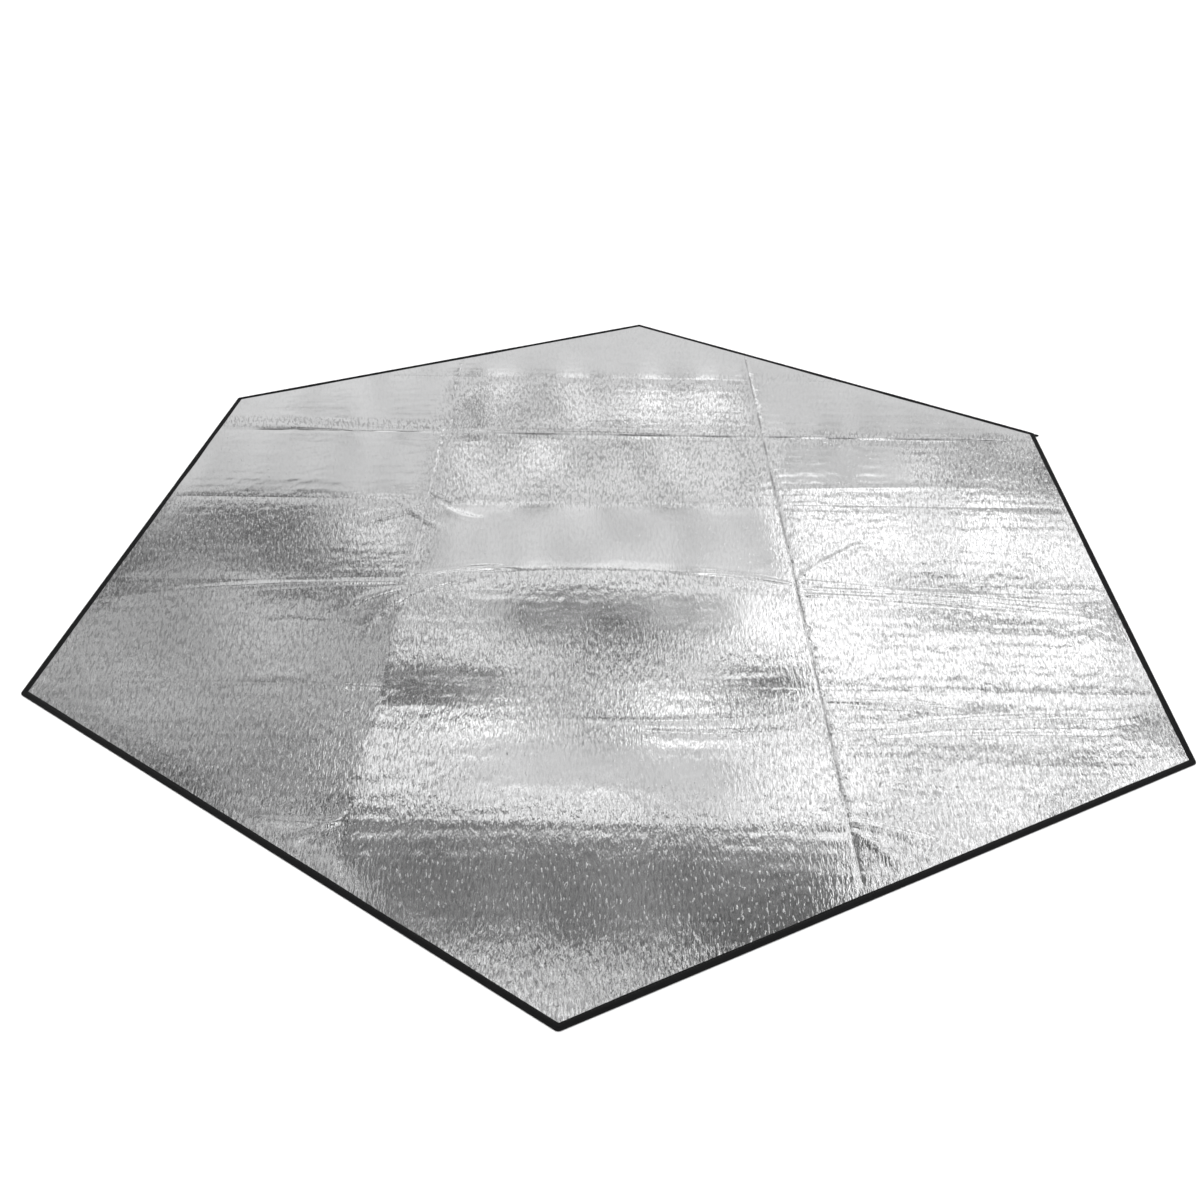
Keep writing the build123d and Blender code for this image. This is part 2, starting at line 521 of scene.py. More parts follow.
def station_point(station, inset):
    """The point at that inset; past the rounding the band is mitred at its corners."""
    if station[1] == "side":
        a, along, inward, at, length = station[2]
        mitre = inset / sqrt(3)
        return a + along * min(max(at, mitre), length - mitre) + inward * inset
    middle, inward, corner = station[2]
    if inset < CORNER_ROUNDING:
        return middle - inward * (CORNER_ROUNDING - inset)
    return corner * (1 - inset / cos(radians(30)) / RADIUS)


MM = 0.001
# the tape's section as (inset, height) in mm: outside of the fold first, then its inside
TAPE_OUTSIDE = [
    (13.0, 3.05), (12.9, 3.45), (12.2, 3.70), (10.6, 3.95), (10.1, 3.86), (9.6, 4.00), (7.5, 4.80),
    (5.0, 5.20), (3.0, 5.00), (1.4, 4.20), (0.4, 3.10), (0.0, 2.10), (0.0, 1.50), (0.4, 0.80),
    (1.3, 0.22), (3.0, 0.02), (7.0, 0.0), (10.5, 0.0), (13.0, 0.0),
]
TAPE_INSIDE = [
    (13.0, 0.46), (3.2, 0.48), (1.5, 0.72), (0.75, 1.5), (0.75, 1.95), (1.5, 2.74), (3.2, 3.02),
    (10.0, 3.03),
]


def tape_ring():
    """The whole tape as one closed band, with its own run and girth as a UV in metres."""
    section = [(d * MM, z * MM) for d, z in TAPE_OUTSIDE + TAPE_INSIDE]
    girth = [0.0]
    for (d0, z0), (d1, z1) in zip(section, section[1:] + section[:1]):
        girth.append(girth[-1] + sqrt((d1 - d0) ** 2 + (z1 - z0) ** 2))
    sway = Ripples(41, 0.31, 0.31, 10)
    pucker = Ripples(43, 0.024, 0.024, 16)
    stations, total = outline_stations(0.008)
    bm = bmesh.new()
    weave = bm.loops.layers.uv.new("weave")
    at = np.array([station_point(s, 0.008) for s in stations])
    swayed, puckered = sway(at[:, 0], at[:, 1]), pucker(at[:, 0], at[:, 1])
    rings = []
    for station, sw, pu in zip(stations, swayed, puckered):
        ring = []
        for d, z in section:
            inset = d + (0.00035 * sw if d > 0.0125 else 0)
            p = station_point(station, inset)
            lift = 0.00010 * sw + 0.00006 * pu if 0.0031 < z else 0
            ring.append(bm.verts.new((p.x, p.y, z + lift)))
        rings.append(ring)
    count = len(section)
    for i, a in enumerate(rings):
        b = rings[(i + 1) % len(rings)]
        s0, s1 = stations[i][0], stations[i + 1][0] if i + 1 < len(rings) else total
        for j in range(count):
            k = (j + 1) % count
            face = bm.faces.new((a[j], a[k], b[k], b[j]))
            spots = ((s0, girth[j]), (s0, girth[j + 1]), (s1, girth[j + 1]), (s1, girth[j]))
            for loop, uv in zip(face.loops, spots):
                loop[weave].uv = uv
    bmesh.ops.remove_doubles(bm, verts=bm.verts[:], dist=2e-6)
    bmesh.ops.dissolve_degenerate(bm, dist=1e-6, edges=bm.edges[:])
    return bm


def cut_out(bm, x0, x1, y0, y1):
    """The part of a closed band inside the limits, closed again at its cuts."""
    piece = bm.copy()
    for co, no in (((x0 + SEAM, 0, 0), (-1, 0, 0)), ((x1 - SEAM, 0, 0), (1, 0, 0)),
                   ((0, y0 + SEAM, 0), (0, -1, 0)), ((0, y1 - SEAM, 0), (0, 1, 0))):
        everything = piece.verts[:] + piece.edges[:] + piece.faces[:]
        cut = bmesh.ops.bisect_plane(
            piece, geom=everything, dist=1e-7, plane_co=co, plane_no=no, clear_outer=True
        )
        edges = [g for g in cut["geom_cut"] if isinstance(g, bmesh.types.BMEdge) and g.is_boundary]
        if edges:
            bmesh.ops.holes_fill(piece, edges=edges, sides=0)
    return piece


def stitch_rows(inset, pitch):
    """Middle and direction of every stitch round the outline."""
    corners = hexagon(inset)
    out = []
    for i in range(6):
        a, b = corners[i], corners[(i + 1) % 6]
        along = (b - a).normalized()
        n = int(((b - a).length - 0.006) / pitch)
        start = ((b - a).length - (n - 1) * pitch) / 2
        out += [(a + along * (start + k * pitch), along) for k in range(n)]
    return out


# a stitch's rings: (place along it, width, lift), as shares of its length and half width
STITCH_PROFILE = [
    (-0.5, 0.12, -0.9), (-0.36, 0.8, 0.1), (-0.12, 1.0, 0.55),
    (0.12, 1.0, 0.55), (0.36, 0.8, 0.1), (0.5, 0.12, -0.9),
]


def stitches(name, places, z, length=0.0042, half=0.00045):
    """Threads that dip into the tape at both ends."""
    bm = bmesh.new()
    for at, along in places:
        side = Vector((-along.y, along.x))
        rings = []
        for t, wide, lift in STITCH_PROFILE:
            base = at + along * (t * length)
            ring = []
            for k in range(6):
                a = radians(60 * k)
                off = side * (cos(a) * half * wide)
                height = z + half * (lift * 0.55 + 0.62 * sin(a) * wide)
                ring.append(bm.verts.new((base.x + off.x, base.y + off.y, height)))
            rings.append(ring)
        for a, b in zip(rings, rings[1:]):
            for k in range(6):
                bm.faces.new((a[k], a[(k + 1) % 6], b[(k + 1) % 6], b[k]))
        bm.faces.new(rings[0])
        bm.faces.new(rings[-1][::-1])
    return bm_object(name, bm, 60)


# the tape end's section: (share of its width, height in mm)
TAIL_SECTION = (
    (0, 0.9), (0.04, 1.35), (0.14, 1.52), (0.5, 1.60), (0.86, 1.52), (0.96, 1.35),
    (1, 0.9), (0.96, 0.45), (0.86, 0.28), (0.5, 0.20), (0.14, 0.28), (0.04, 0.45),
)
TAIL_START, TAIL_END = -0.0200, 0.0145  # along the side, from the corner
TAIL_ROUNDING = 0.0065
TAIL_WIDTH = 0.0120
TAIL_SPANS = 14


def tape_tail():
    """The tape's end, sewn down past the corner where the tape began."""
    corner = hexagon(0)[0]
    along = (corner - hexagon(0)[1]).normalized()
    inward = Vector((along.y, -along.x))
    bm = bmesh.new()
    rings = []
    for i in range(TAIL_SPANS + 1):
        reach = TAIL_START + (TAIL_END - TAIL_START) * i / TAIL_SPANS
        # the end is rounded off
        over = max(0.0, reach - (TAIL_END - TAIL_ROUNDING)) / TAIL_ROUNDING
        shrink = sqrt(max(0.0, 1 - min(over, 1.0) ** 2)) * 0.92 + 0.08
        lift = 0.0014 * (max(0.0, reach) / TAIL_END) ** 1.5
        ring = []
        for s, z in TAIL_SECTION:
            d = 0.0004 + TAIL_WIDTH * (0.5 + (s - 0.5) * shrink)
            p = corner + along * reach + inward * d
            ring.append(bm.verts.new((p.x, p.y, 0.0006 + z * MM + lift)))
        rings.append(ring)
    for a, b in zip(rings, rings[1:]):
        for j in range(len(TAIL_SECTION)):
            k = (j + 1) % len(TAIL_SECTION)
            bm.faces.new((a[j], a[k], b[k], b[j]))
    bm.faces.new(rings[0][::-1])
    bm.faces.new(rings[-1])
    return bm_object("tape_tail_end", bm, 50)


# ---------------------------------------------------------------- materials
class Graph:
    """A small helper to wire nodes."""

    def __init__(self, tree):
        self.tree = tree
        self.tree.nodes.clear()

    def add(self, kind, **settings):
        node = self.tree.nodes.new(kind)
        for key, value in settings.items():
            setattr(node, key, value)
        return node

    def link(self, a, b):
        self.tree.links.new(a, b)

    def noise(self, where, detail=2.0, rough=0.5, distort=0.0, scale=1.0):
        node = self.add("ShaderNodeTexNoise")
        node.inputs["Scale"].default_value = scale
        node.inputs["Detail"].default_value = detail
        node.inputs["Roughness"].default_value = rough
        node.inputs["Distortion"].default_value = distort
        self.link(where, node.inputs["Vector"])
        return node.outputs[0]

    def math(self, kind, a, b=0.0):
        node = self.add("ShaderNodeMath", operation=kind)
        for socket, value in zip(node.inputs, (a, b)):
            if isinstance(value, (int, float)):
                socket.default_value = value
            else:
                self.link(value, socket)
        return node.outputs[0]

    def span(self, value, lo, hi, out_lo=0.0, out_hi=1.0, soft=False):
        node = self.add("ShaderNodeMapRange", interpolation_type="SMOOTHSTEP" if soft else "LINEAR")
        for key, number in zip(("From Min", "From Max", "To Min", "To Max"), (lo, hi, out_lo, out_hi)):
            node.inputs[key].default_value = number
        self.link(value, node.inputs["Value"])
        return node.outputs[0]

    def mix(self, factor, low, high):
        node = self.add("ShaderNodeMix", data_type="RGBA")
        self.link(factor, node.inputs["Factor"])
        for socket, colour in ((node.inputs["A"], low), (node.inputs["B"], high)):
            if isinstance(colour, tuple):
                socket.default_value = (*colour, 1.0)
            else:
                self.link(colour, socket)
        return node.outputs["Result"]


class Nodes(Graph):
    """A material's nodes, round one principled shader."""

    def __init__(self, name):
        self.material = bpy.data.materials.new(name)
        self.material.use_nodes = True
        super().__init__(self.material.node_tree)
        self.out = self.add("ShaderNodeOutputMaterial")
        self.shader = self.add("ShaderNodeBsdfPrincipled")
        self.link(self.shader.outputs[0], self.out.inputs[0])

    def place(self, scale, layer="place"):
        """The surface's own coordinates, times a scale in cells per metre."""
        uv = self.add("ShaderNodeUVMap", uv_map=layer)
        mapping = self.add("ShaderNodeMapping")
        mapping.inputs["Scale"].default_value = (scale[0], scale[1], 1)
        self.link(uv.outputs[0], mapping.inputs["Vector"])
        return mapping.outputs[0]

    def cells(self, where, feature, soft=0.3):
        node = self.add("ShaderNodeTexVoronoi", feature=feature)
        node.inputs["Scale"].default_value = 1.0
        if feature == "SMOOTH_F1":
            node.inputs["Smoothness"].default_value = soft
        self.link(where, node.inputs["Vector"])
        return node.outputs["Distance"]

    def bump(self, height, distance, strength=1.0, before=None):
        node = self.add("ShaderNodeBump")
        node.inputs["Distance"].default_value = distance
        node.inputs["Strength"].default_value = strength
        self.link(height, node.inputs["Height"])
        if before is not None:
            self.link(before, node.inputs["Normal"])
        return node.outputs[0]

    def set(self, **sockets):
        for key, value in sockets.items():
            socket = self.shader.inputs[key.replace("_", " ")]
            if isinstance(value, (int, float, tuple)):
                socket.default_value = (*value, 1.0) if isinstance(value, tuple) else value
            else:
                self.link(value, socket)
        return self.material


def film_material():
    """Metallised film with a hot-pressed emboss of long grains on it, scuffed here and there, with
    painted shade in the emboss' pits and along the creases.
    """
    n = Nodes("metallised_film")
    density = n.add("ShaderNodeAttribute", attribute_name="emboss").outputs["Fac"]
    grains = n.noise(n.place((235, 60), "grains"), 1.5, 0.5, 0.3)
    level = n.math("SUBTRACT", 0.74, n.math("MULTIPLY", density, 0.34))
    raised = n.math("MAXIMUM", n.math("SUBTRACT", grains, level), 0.0)
    wavy = n.noise(n.place((150, 38), "grains"), 2.0, 0.6, 0.2)
    fine = n.noise(n.place((50, 20)), 3, 0.55)
    normal = n.bump(fine, 0.00006, 1.0)
    along = n.add("ShaderNodeSeparateXYZ")
    n.link(n.place((1, 1)), along.inputs[0])
    calmer = n.math("MULTIPLY", n.span(density, 0.1, 0.5), n.span(along.outputs[1], -0.5, 1.0, 1.0, 0.45))
    normal = n.bump(n.math("MULTIPLY", wavy, calmer), 0.00040, 1.0, normal)
    normal = n.bump(raised, 0.0015, 1.0, normal)
    patches = n.noise(n.place((5, 9)), 4, 0.6)
    rubbed = n.span(n.noise(n.place((36, 90)), 3, 0.65), 0.45, 0.75, 0.0, 1.0)
    rough = n.math("ADD", n.span(patches, 0.3, 0.7, 0.055, 0.085), n.math("MULTIPLY", rubbed, 0.02))
    bright = n.mix(patches, (0.92, 0.925, 0.93), (0.97, 0.97, 0.975))
    # painted shade: the emboss' pits get a darker painted colour than its crests
    painted_pit_shade = n.span(n.noise(n.place((200, 48), "grains"), 1.5, 0.5, 0.3), 0.42, 0.50, 1.0, 0.0)
    uneven = n.span(n.noise(n.place((11, 17)), 3, 0.6), 0.35, 0.65, 0.45, 1.0)
    share = n.math("MULTIPLY", n.math("MULTIPLY", painted_pit_shade, uneven), n.span(density, 0.15, 0.50))
    colour = n.mix(share, bright, (0.60, 0.60, 0.605))
    # and painted shade darkens the creases
    crease_shade = n.add("ShaderNodeAttribute", attribute_name="crease_shade").outputs["Fac"]
    shade_breakup = n.span(n.noise(n.place((260, 180)), 2, 0.6), 0.35, 0.60, 0.45, 1.0)
    colour = n.mix(n.math("MULTIPLY", crease_shade, shade_breakup), colour, (0.10, 0.10, 0.105))
    return n.set(Base_Color=colour, Metallic=1.0, Roughness=rough, Normal=normal)


def foam_material():
    """White closed-cell foam with its fine cells and a faint skin."""
    n = Nodes("closed_cell_foam")
    cells = n.cells(n.place((620, 620)), "F1")
    coarse = n.cells(n.place((230, 230)), "SMOOTH_F1", 0.4)
    tone = n.noise(n.place((14, 14)), 4, 0.6)
    colour = n.mix(tone, (0.50, 0.50, 0.50), (0.60, 0.60, 0.595))
    height = n.math("ADD", n.math("MULTIPLY", cells, 0.6), n.math("MULTIPLY", coarse, 0.6))
    rough = n.span(tone, 0.3, 0.7, 0.62, 0.8)
    normal = n.bump(height, 0.0004, 0.8)
    return n.set(Base_Color=colour, Roughness=rough, Normal=normal, Specular_IOR_Level=0.35)


RIB_PITCH, WARP_PITCH = 0.0011, 0.0008


def tape_material():
    """Black woven tape: cross ribs with a finer run of warp threads."""
    n = Nodes("woven_edge_tape")
    uv = n.add("ShaderNodeSeparateXYZ")
    n.link(n.place((1, 1), "weave"), uv.inputs[0])
    ribs = n.math("SINE", n.math("MULTIPLY", uv.outputs[0], 2 * np.pi / RIB_PITCH))
    warps = n.math("SINE", n.math("MULTIPLY", uv.outputs[1], 2 * np.pi / WARP_PITCH))
    checks = n.math("MULTIPLY", ribs, warps)
    cloth = n.math("ADD", n.math("MULTIPLY", ribs, 0.55), n.math("MULTIPLY", checks, 0.45))
    fuzz = n.noise(n.place((900, 900), "weave"), 3, 0.7)
    wear = n.noise(n.place((45, 160), "weave"), 4, 0.65)
    tone = n.span(n.math("ADD", n.math("MULTIPLY", cloth, 0.25), wear), 0.3, 0.85, 0.0, 1.0)
    colour = n.mix(tone, (0.0025, 0.0025, 0.0027), (0.0100, 0.0100, 0.0105))
    normal = n.bump(fuzz, 0.00008, 0.6)
    normal = n.bump(cloth, 0.00012, 0.9, normal)
    rough = n.span(wear, 0.3, 0.7, 0.62, 0.82)
    return n.set(
        Base_Color=colour, Roughness=rough, Normal=normal,
        Specular_IOR_Level=0.18, Sheen_Weight=0.05, Sheen_Roughness=0.4,
    )


def thread_material():
    """Black sewing thread with its twist."""
    n = Nodes("sewing_thread")
    twist = n.noise(n.place((1600, 1600)), 2, 0.6)
    tone = n.span(twist, 0.3, 0.7, 0.0, 1.0)
    colour = n.mix(tone, (0.006, 0.006, 0.006), (0.022, 0.022, 0.023))
    rough = n.span(twist, 0.3, 0.7, 0.45, 0.6)
    return n.set(Base_Color=colour, Roughness=rough, Normal=n.bump(twist, 0.0001, 0.6))


FILM, FOAM, TAPE, THREAD = film_material(), foam_material(), tape_material(), thread_material()


# ---------------------------------------------------------------- the pad's pieces
FILM_INSET = 0.0033
FOAM_INSET = 0.0024
X_ENDS = {
    "left": (X_BREAKS[0], X_BREAKS[1]),
    "centre": (X_BREAKS[3], X_BREAKS[4]),
    "right": (X_BREAKS[6], X_BREAKS[7]),
}
LONG_CREASES = (("left", LEFT, -LEFT_HALF), ("right", RIGHT, RIGHT_HALF))
ROW_ENDS = [-ROW_END, *ROW_CREASES, ROW_END]
LAYERS = (
    # name, material, slot, CAD nodes, mesh lines, inset, top, bottom
    ("film", FILM, "foil_film", "foil", FILM_LINES, FILM_INSET, film_top, foam_top),
    ("foam", FOAM, "foam", "foam", FOAM_LINES, FOAM_INSET, foam_top, foam_bottom),
)


def layer_piece(layer, name, limits):
    kind, material, slot, _, grid, inset, top, bottom = layer
    piece = slab(f"{kind}_{name}", grid, limits, inset, top, bottom)
    piece.data.materials.append(material)
    piece.data.materials.append(FOAM)
    return piece


def panels(layer):
    """One piece for each panel between its crease strips."""
    for row in ROWS:
        for column in COLUMNS:
            y0, y1 = ROW_ENDS[row - 1], ROW_ENDS[row]
            if column == "centre":
                y0 += half_of(row - 2) if row > 1 else 0
                y1 -= half_of(row - 1) if row < 7 else 0
            piece = layer_piece(layer, f"row{row}_{column}", (*X_ENDS[column], y0, y1))
            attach(piece, f"row{row}_{column}")
            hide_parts(f"{layer[3]}_row{row}_{column}")


def cross_strips(layer):
    """The middle column's strips over the row creases."""
    for i, crease in enumerate(ROW_CREASES):
        near, away = crease - half_of(i), crease + half_of(i)
        piece = layer_piece(layer, f"crease_{i + 1}_{i + 2}", (*X_ENDS["centre"], near, away))
        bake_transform(piece)


def long_strips(layer):
    """The strips over the long creases, row by row."""
    for side, crease, half in LONG_CREASES:
        x0, x1 = sorted((crease - half, crease + half))
        for row in ROWS:
            y0, y1 = ROW_ENDS[row - 1], ROW_ENDS[row]
            piece = layer_piece(layer, f"crease_{side}_row{row}", (x0, x1, y0, y1))
            bend_at_side(piece)


def bend_at_side(piece):
    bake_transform(piece)


for layer in LAYERS:
    panels(layer)
    cross_strips(layer)
    long_strips(layer)


def tape_piece(ring, name, limits):
    bm = cut_out(ring, *limits)
    piece = bm_object(f"tape_{name}", bm, 50)
    piece.data.materials.append(TAPE)
    return piece


STITCH_INSET, STITCH_PITCH, STITCH_HEIGHT = 0.0101, 0.0056, 0.00385
all_stitches = stitch_rows(STITCH_INSET, STITCH_PITCH)


def stitch_piece(name, limits):
    x0, x1, y0, y1 = limits
    here = [(at, way) for at, way in all_stitches if x0 < at.x < x1 and y0 < at.y < y1]
    piece = stitches(f"stitches_{name}", here, STITCH_HEIGHT)
    piece.data.materials.append(THREAD)
    return piece


def bindings():
    """The tape and its stitches, cut where the panels meet.

    Four short bridges span the long creases.
    """
    ring = tape_ring()
    for row in ROWS:
        y0 = ROW_ENDS[row - 1] - (0.1 if row == 1 else 0)
        y1 = ROW_ENDS[row] + (0.1 if row == 7 else 0)
        for column in COLUMNS:
            if column == "centre" and row not in (1, 7):
                continue
            name = f"row{row}_{column}"
            limits = (*X_ENDS[column], y0, y1)
            tape = tape_piece(ring, name, limits)
            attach(tape, name)
            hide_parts(f"binding_{name}")
            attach(stitch_piece(name, limits), name)
        if row not in (1, 7):
            continue
        for side, crease, half in LONG_CREASES:
            limits = (*sorted((crease - half, crease + half)), y0, y1)
            for make in (lambda n, l: tape_piece(ring, n, l), stitch_piece):
                bend_at_side(make(f"bridge_{side}_row{row}", limits))
    ring.free()


bindings()
tail = tape_tail()
tail.data.materials.append(TAPE)
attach(tail, "row6_right")
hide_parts("binding_tail")


# ---------------------------------------------------------------- camera
ELEVATION, ROLL = radians(36.211), radians(0.853)
DISTANCE = 1.93462 * RADIUS
AIM = Vector((-0.02441 * RADIUS, -0.17883 * RADIUS, 0))


def camera():
    back = Vector((0, -cos(ELEVATION), sin(ELEVATION)))
    right, up = Vector((1, 0, 0)), Vector((0, sin(ELEVATION), cos(ELEVATION)))
    across = right * cos(ROLL) + up * sin(ROLL)
    upright = up * cos(ROLL) - right * sin(ROLL)
    data = bpy.data.cameras.new("camera")
    data.sensor_width = 36
    data.lens = 34.23
    data.clip_start, data.clip_end = 0.05, 100
    cam = bpy.data.objects.new("camera", data)
    turn = Matrix((across, upright, back)).transposed().to_4x4()
    cam.matrix_world = Matrix.Translation(AIM + back * DISTANCE) @ turn
    bpy.context.scene.collection.objects.link(cam)
    bpy.context.scene.camera = cam


camera()


# ---------------------------------------------------------------- floor and light
def floor():
    bm = bmesh.new()
    size = 40
    # just under the pad, so that the faces don't coincide
    for x, y in ((-size, -size), (size, -size), (size, size), (-size, size)):
        bm.verts.new((x, y, -0.0002))
    bm.faces.new(bm.verts[:])
    obj = bm_object("floor", bm)
    n = Nodes("floor_paint")
    grain = n.noise(n.place((3, 3)), 3, 0.6)
    colour = n.mix(grain, (0.90, 0.90, 0.90), (0.93, 0.93, 0.93))
    obj.data.materials.append(n.set(Base_Color=colour, Roughness=0.95, Specular_IOR_Level=0.0))


floor()


def sun(strength, spread):
    """A broad soft light from straight above, which the foil doesn't mirror."""
    data = bpy.data.lights.new("overhead", "SUN")
    data.energy = strength
    data.angle = radians(spread)
    obj = bpy.data.objects.new("overhead", data)
    obj.visible_glossy = False
    bpy.context.scene.collection.objects.link(obj)


sun(2.6, 60)

# The studio overhead, by column of the pad and by where along y flat foil mirrors it to the camera:
# (y in metres, brightness, mottling)
CENTRE_TONES = [
    (-1.60, 0.50, 1.25), (-1.15, 0.50, 1.25), (-1.13, 0.18, 0.12), (-0.905, 0.18, 0.12),
    (-0.888, 0.95, 0.5), (-0.845, 0.90, 0.6), (-0.81, 0.56, 0.1), (-0.69, 0.54, 0.1),
    (-0.65, 0.86, 1.25), (-0.58, 0.70, 1.25), (-0.45, 0.68, 1.25), (-0.36, 0.50, 1.1),
    (-0.31, 0.30, 0.30), (-0.205, 0.16, 0.20), (-0.195, 0.95, 0.3), (-0.130, 0.95, 0.3),
    (-0.120, 0.57, 0.12), (0.175, 0.57, 0.12), (0.195, 0.35, 1.1), (0.23, 0.71, 0.8),
    (0.50, 0.67, 0.8), (0.54, 0.30, 0.5), (0.58, 0.62, 0.8), (0.86, 0.57, 0.8), (0.90, 0.59, 0.03),
    (1.45, 0.60, 0.03),
]
LEFT_TONES = [
    (-1.60, 0.38, 0.8), (-0.95, 0.36, 0.8), (-0.88, 0.23, 0.30), (-0.56, 0.28, 0.40),
    (-0.54, 0.48, 0.3), (-0.51, 0.37, 0.45), (-0.33, 0.37, 0.45), (-0.30, 0.50, 0.4),
    (-0.25, 0.36, 0.4), (-0.22, 0.20, 0.25), (0.17, 0.20, 0.25), (0.21, 0.54, 0.10),
    (0.54, 0.56, 0.05), (0.56, 0.34, 0.6), (0.59, 0.58, 0.1), (0.86, 0.60, 0.1), (1.45, 0.60, 0.05),
]
RIGHT_TONES = [
    (-1.60, 0.85, 1.2), (-0.95, 0.80, 1.2), (-0.90, 0.48, 1.1), (-0.85, 0.48, 1.1),
    (-0.79, 1.05, 1.0), (-0.70, 1.05, 1.0), (-0.68, 0.22, 0.5), (-0.60, 0.22, 0.5),
    (-0.58, 0.90, 1.1), (-0.42, 1.00, 1.0), (-0.31, 0.84, 1.1), (-0.29, 0.22, 0.5),
    (-0.20, 0.22, 0.5), (-0.18, 0.86, 1.0), (-0.02, 1.08, 0.9), (0.16, 1.15, 0.9),
    (0.24, 0.78, 1.1), (0.30, 0.50, 1.0), (0.52, 0.46, 1.0), (0.57, 0.54, 0.05), (0.86, 0.58, 0.05),
    (1.45, 0.60, 0.05),
]
# (x, y, half width, half depth, brightness, mottling): smaller panels and flags
SPOTS = [
    (-0.32, -0.42, 0.16, 0.10, 0.85, 0.3),
    (0.37, -0.32, 0.14, 0.16, 1.10, 0.3),
    (-0.33, -0.535, 0.20, 0.074, 0.02, 0.3),
    (0.28, -0.50, 0.16, 0.055, 0.04, 0.3),
    (-0.40, -0.74, 0.11, 0.12, 0.92, 0.3),
    (0.36, -0.74, 0.12, 0.13, 1.10, 0.3),
    (0.17, 0.71, 0.26, 0.095, 1.15, 0.3),
    (0.52, -0.38, 0.16, 0.22, 1.15, 0.3),
    (0.60, 0.39, 0.26, 0.14, 0.52, 0.04),
    (-0.28, 0.66, 0.14, 0.05, 0.45, 0.3),
    (1.02, 0.36, 0.20, 0.14, 0.28, 0.3),
    (-0.56, 0.03, 0.12, 0.15, 0.75, 0.3),
    (-0.90, -0.33, 0.18, 0.13, 0.48, 0.4),
]
MOTTLE_PITCH = (13, 4)  # in blotches per metre of mirrored ground: fine across, long ahead
RIM_AT, RIM_ARCH = -0.15, 0.085  # the bright rim over the third row, and how far it arches
FIRST_AT, FIRST_SLANT = -0.89, 0.04  # the first crease's tones run aslant
DIMMEST = 0.06
PANEL_SCALE = 5.5
WORLD_GAIN = 1.08
EYE = AIM + Vector((0, -cos(ELEVATION), sin(ELEVATION))) * DISTANCE


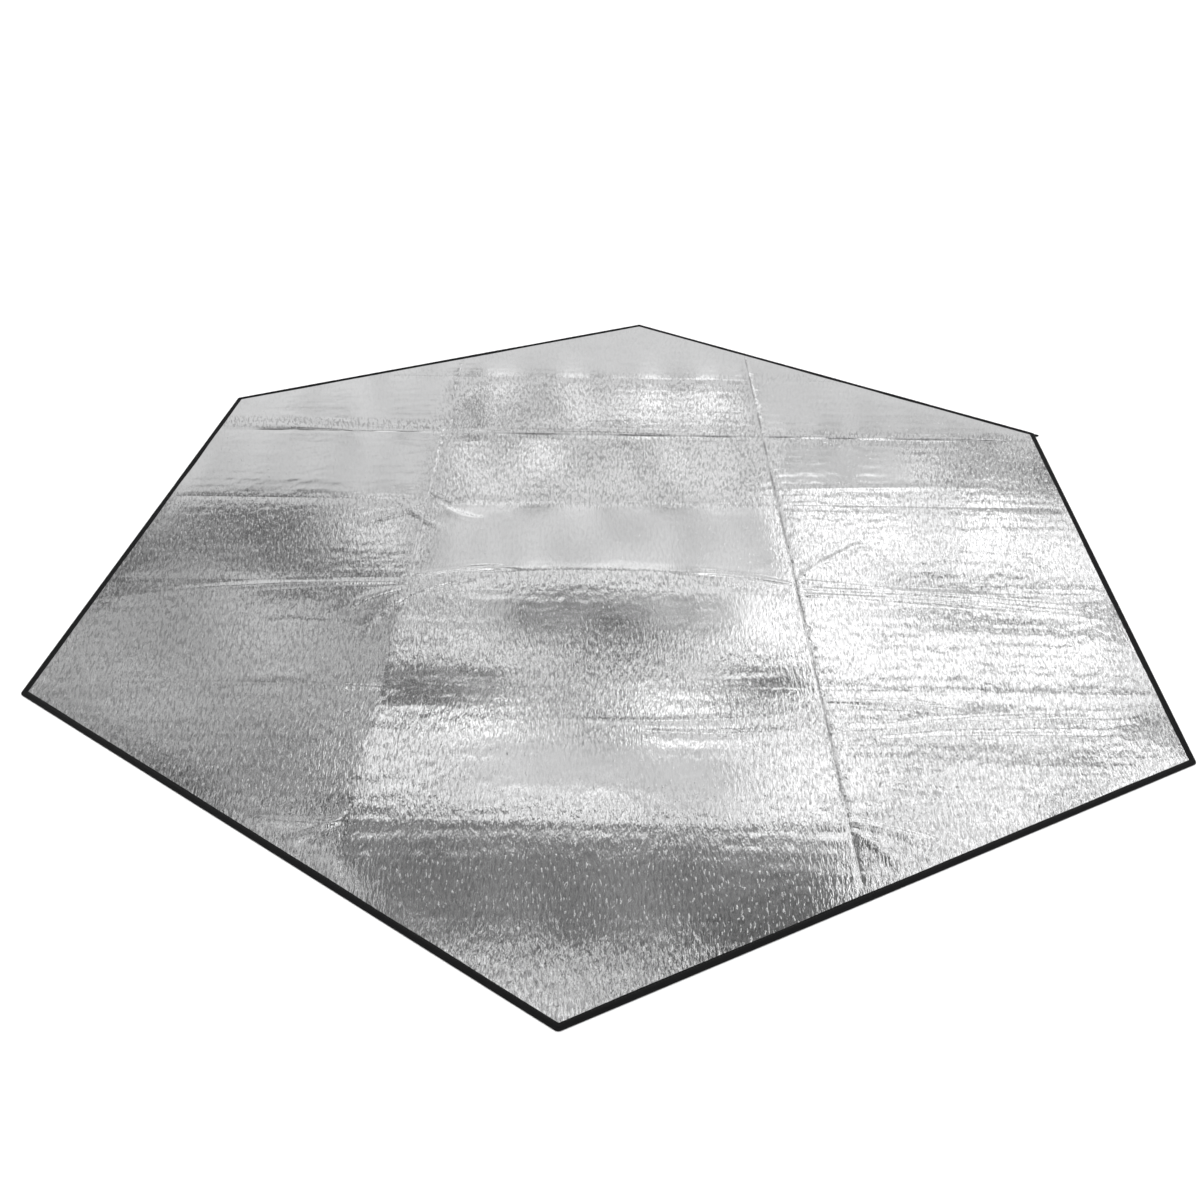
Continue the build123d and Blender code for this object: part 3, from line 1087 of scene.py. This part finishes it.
class Studio(Graph):
    """The studio overhead, which only the foil and the shading see: the camera sees plain white."""

    def between(self, value, low, high):
        return self.span(value, low, high, soft=True)

    def near(self, value, at, low, high):
        """1 within low of a place and 0 beyond high."""
        off = self.math("ABSOLUTE", self.math("SUBTRACT", value, at))
        return self.math("SUBTRACT", 1.0, self.between(off, low, high))

    def ramp(self, tones, along):
        """A column's tones, with brightness in red and mottling in green."""
        near, away = tones[0][0], tones[-1][0]
        node = self.add("ShaderNodeValToRGB")
        elements = node.color_ramp.elements
        while len(elements) < len(tones):
            elements.new(0.5)
        for element, (at, level, mottle) in zip(elements, tones):
            element.position = (at - near) / (away - near)
            element.color = (level, mottle, 0, 1)
        self.link(self.span(along, near, away), node.inputs[0])
        return node.outputs[0]

    def spot(self, zones, x, y, at_x, at_y, half_x, half_y, level, mottling):
        over_x = self.math("DIVIDE", self.math("SUBTRACT", x, at_x), half_x)
        over_y = self.math("DIVIDE", self.math("SUBTRACT", y, at_y), half_y)
        over_x, over_y = self.math("MULTIPLY", over_x, over_x), self.math("MULTIPLY", over_y, over_y)
        reach = self.math("SQRT", self.math("ADD", over_x, over_y))
        inside = self.near(reach, 0.0, 0.55, 1.15)
        return self.mix(inside, zones, (level, mottling, 0))

    def zones(self, x, y):
        """The three columns' tones, blended at the long creases, and the spots over them."""
        off = self.math("DIVIDE", self.math("SUBTRACT", x, MIDDLE), 0.45)
        arch = self.math("MULTIPLY", self.math("MINIMUM", self.math("MULTIPLY", off, off), 1.0), RIM_ARCH)
        arched = self.math("ADD", y, self.math("MULTIPLY", arch, self.near(y, RIM_AT, 0.03, 0.22)))
        slant = self.math("MULTIPLY", x, FIRST_SLANT)
        slant = self.math("MULTIPLY", slant, self.near(y, FIRST_AT, 0.06, 0.16))
        arched = self.math("ADD", arched, slant)
        past_right = self.between(x, RIGHT - 0.03, RIGHT + 0.03)
        zones = self.mix(past_right, self.ramp(CENTRE_TONES, arched), self.ramp(RIGHT_TONES, y))
        zones = self.mix(self.between(x, LEFT - 0.01, LEFT + 0.05), self.ramp(LEFT_TONES, y), zones)
        for spot in SPOTS:
            zones = self.spot(zones, x, y, *spot)
        return zones

    def mottled(self, zones, x, y):
        """The tones' brightness, swung up and down by their mottling."""
        parts = self.add("ShaderNodeSeparateColor")
        self.link(zones, parts.inputs[0])
        where = self.add("ShaderNodeCombineXYZ")
        self.link(self.math("MULTIPLY", x, MOTTLE_PITCH[0]), where.inputs[0])
        self.link(self.math("MULTIPLY", y, MOTTLE_PITCH[1]), where.inputs[1])
        blotches = self.noise(where.outputs[0], 1.0)
        swing = self.math("SUBTRACT", self.between(blotches, 0.40, 0.60), 0.5)
        return self.math("ADD", parts.outputs[0], self.math("MULTIPLY", swing, parts.outputs[1]))

    def beyond(self, x, y):
        """1 where the mirrored ground is well off the pad."""
        behind = self.math("SUBTRACT", 1.0, self.between(y, -1.60, -1.35))
        aside = self.between(self.math("ABSOLUTE", x), 1.5, 1.9)
        return self.math("MAXIMUM", self.math("MAXIMUM", behind, aside), self.between(y, 1.6, 2.4))


def world():
    scene = bpy.context.scene
    scene.world = bpy.data.worlds.new("studio")
    scene.world.use_nodes = True
    n = Studio(scene.world.node_tree)
    way = n.add("ShaderNodeTexCoord").outputs["Generated"]
    parts = n.add("ShaderNodeSeparateXYZ")
    n.link(way, parts.inputs[0])
    up = n.math("MAXIMUM", parts.outputs[2], 0.04)
    # where flat foil on the ground mirrors this direction to the eye
    x = n.math("ADD", n.math("MULTIPLY", n.math("DIVIDE", parts.outputs[0], up), EYE.z), EYE.x)
    y = n.math("ADD", n.math("MULTIPLY", n.math("DIVIDE", parts.outputs[1], up), EYE.z), EYE.y)
    over_pad = n.mottled(n.zones(x, y), x, y)
    # elsewhere, broad soft panels
    panels_there = n.between(n.noise(way, 1.0, scale=PANEL_SCALE), 0.42, 0.58)
    elsewhere = n.math("ADD", n.math("MULTIPLY", panels_there, 0.62), 0.16)
    outside = n.beyond(x, y)
    inner = n.math("MULTIPLY", over_pad, n.math("SUBTRACT", 1.0, outside))
    level = n.math("ADD", inner, n.math("MULTIPLY", elsewhere, outside))
    plain = n.add("ShaderNodeBackground")
    plain.inputs[0].default_value = (1, 1, 1, 1)
    plain.inputs[1].default_value = 1.0
    lit = n.add("ShaderNodeBackground")
    n.link(n.math("MAXIMUM", level, DIMMEST), lit.inputs[0])
    lit.inputs[1].default_value = WORLD_GAIN
    path = n.add("ShaderNodeLightPath")
    choose = n.add("ShaderNodeMixShader")
    n.link(path.outputs["Is Camera Ray"], choose.inputs[0])
    n.link(lit.outputs[0], choose.inputs[1])
    n.link(plain.outputs[0], choose.inputs[2])
    out = n.add("ShaderNodeOutputWorld")
    n.link(choose.outputs[0], out.inputs[0])


world()
bpy.context.scene.view_settings.view_transform = "Standard"
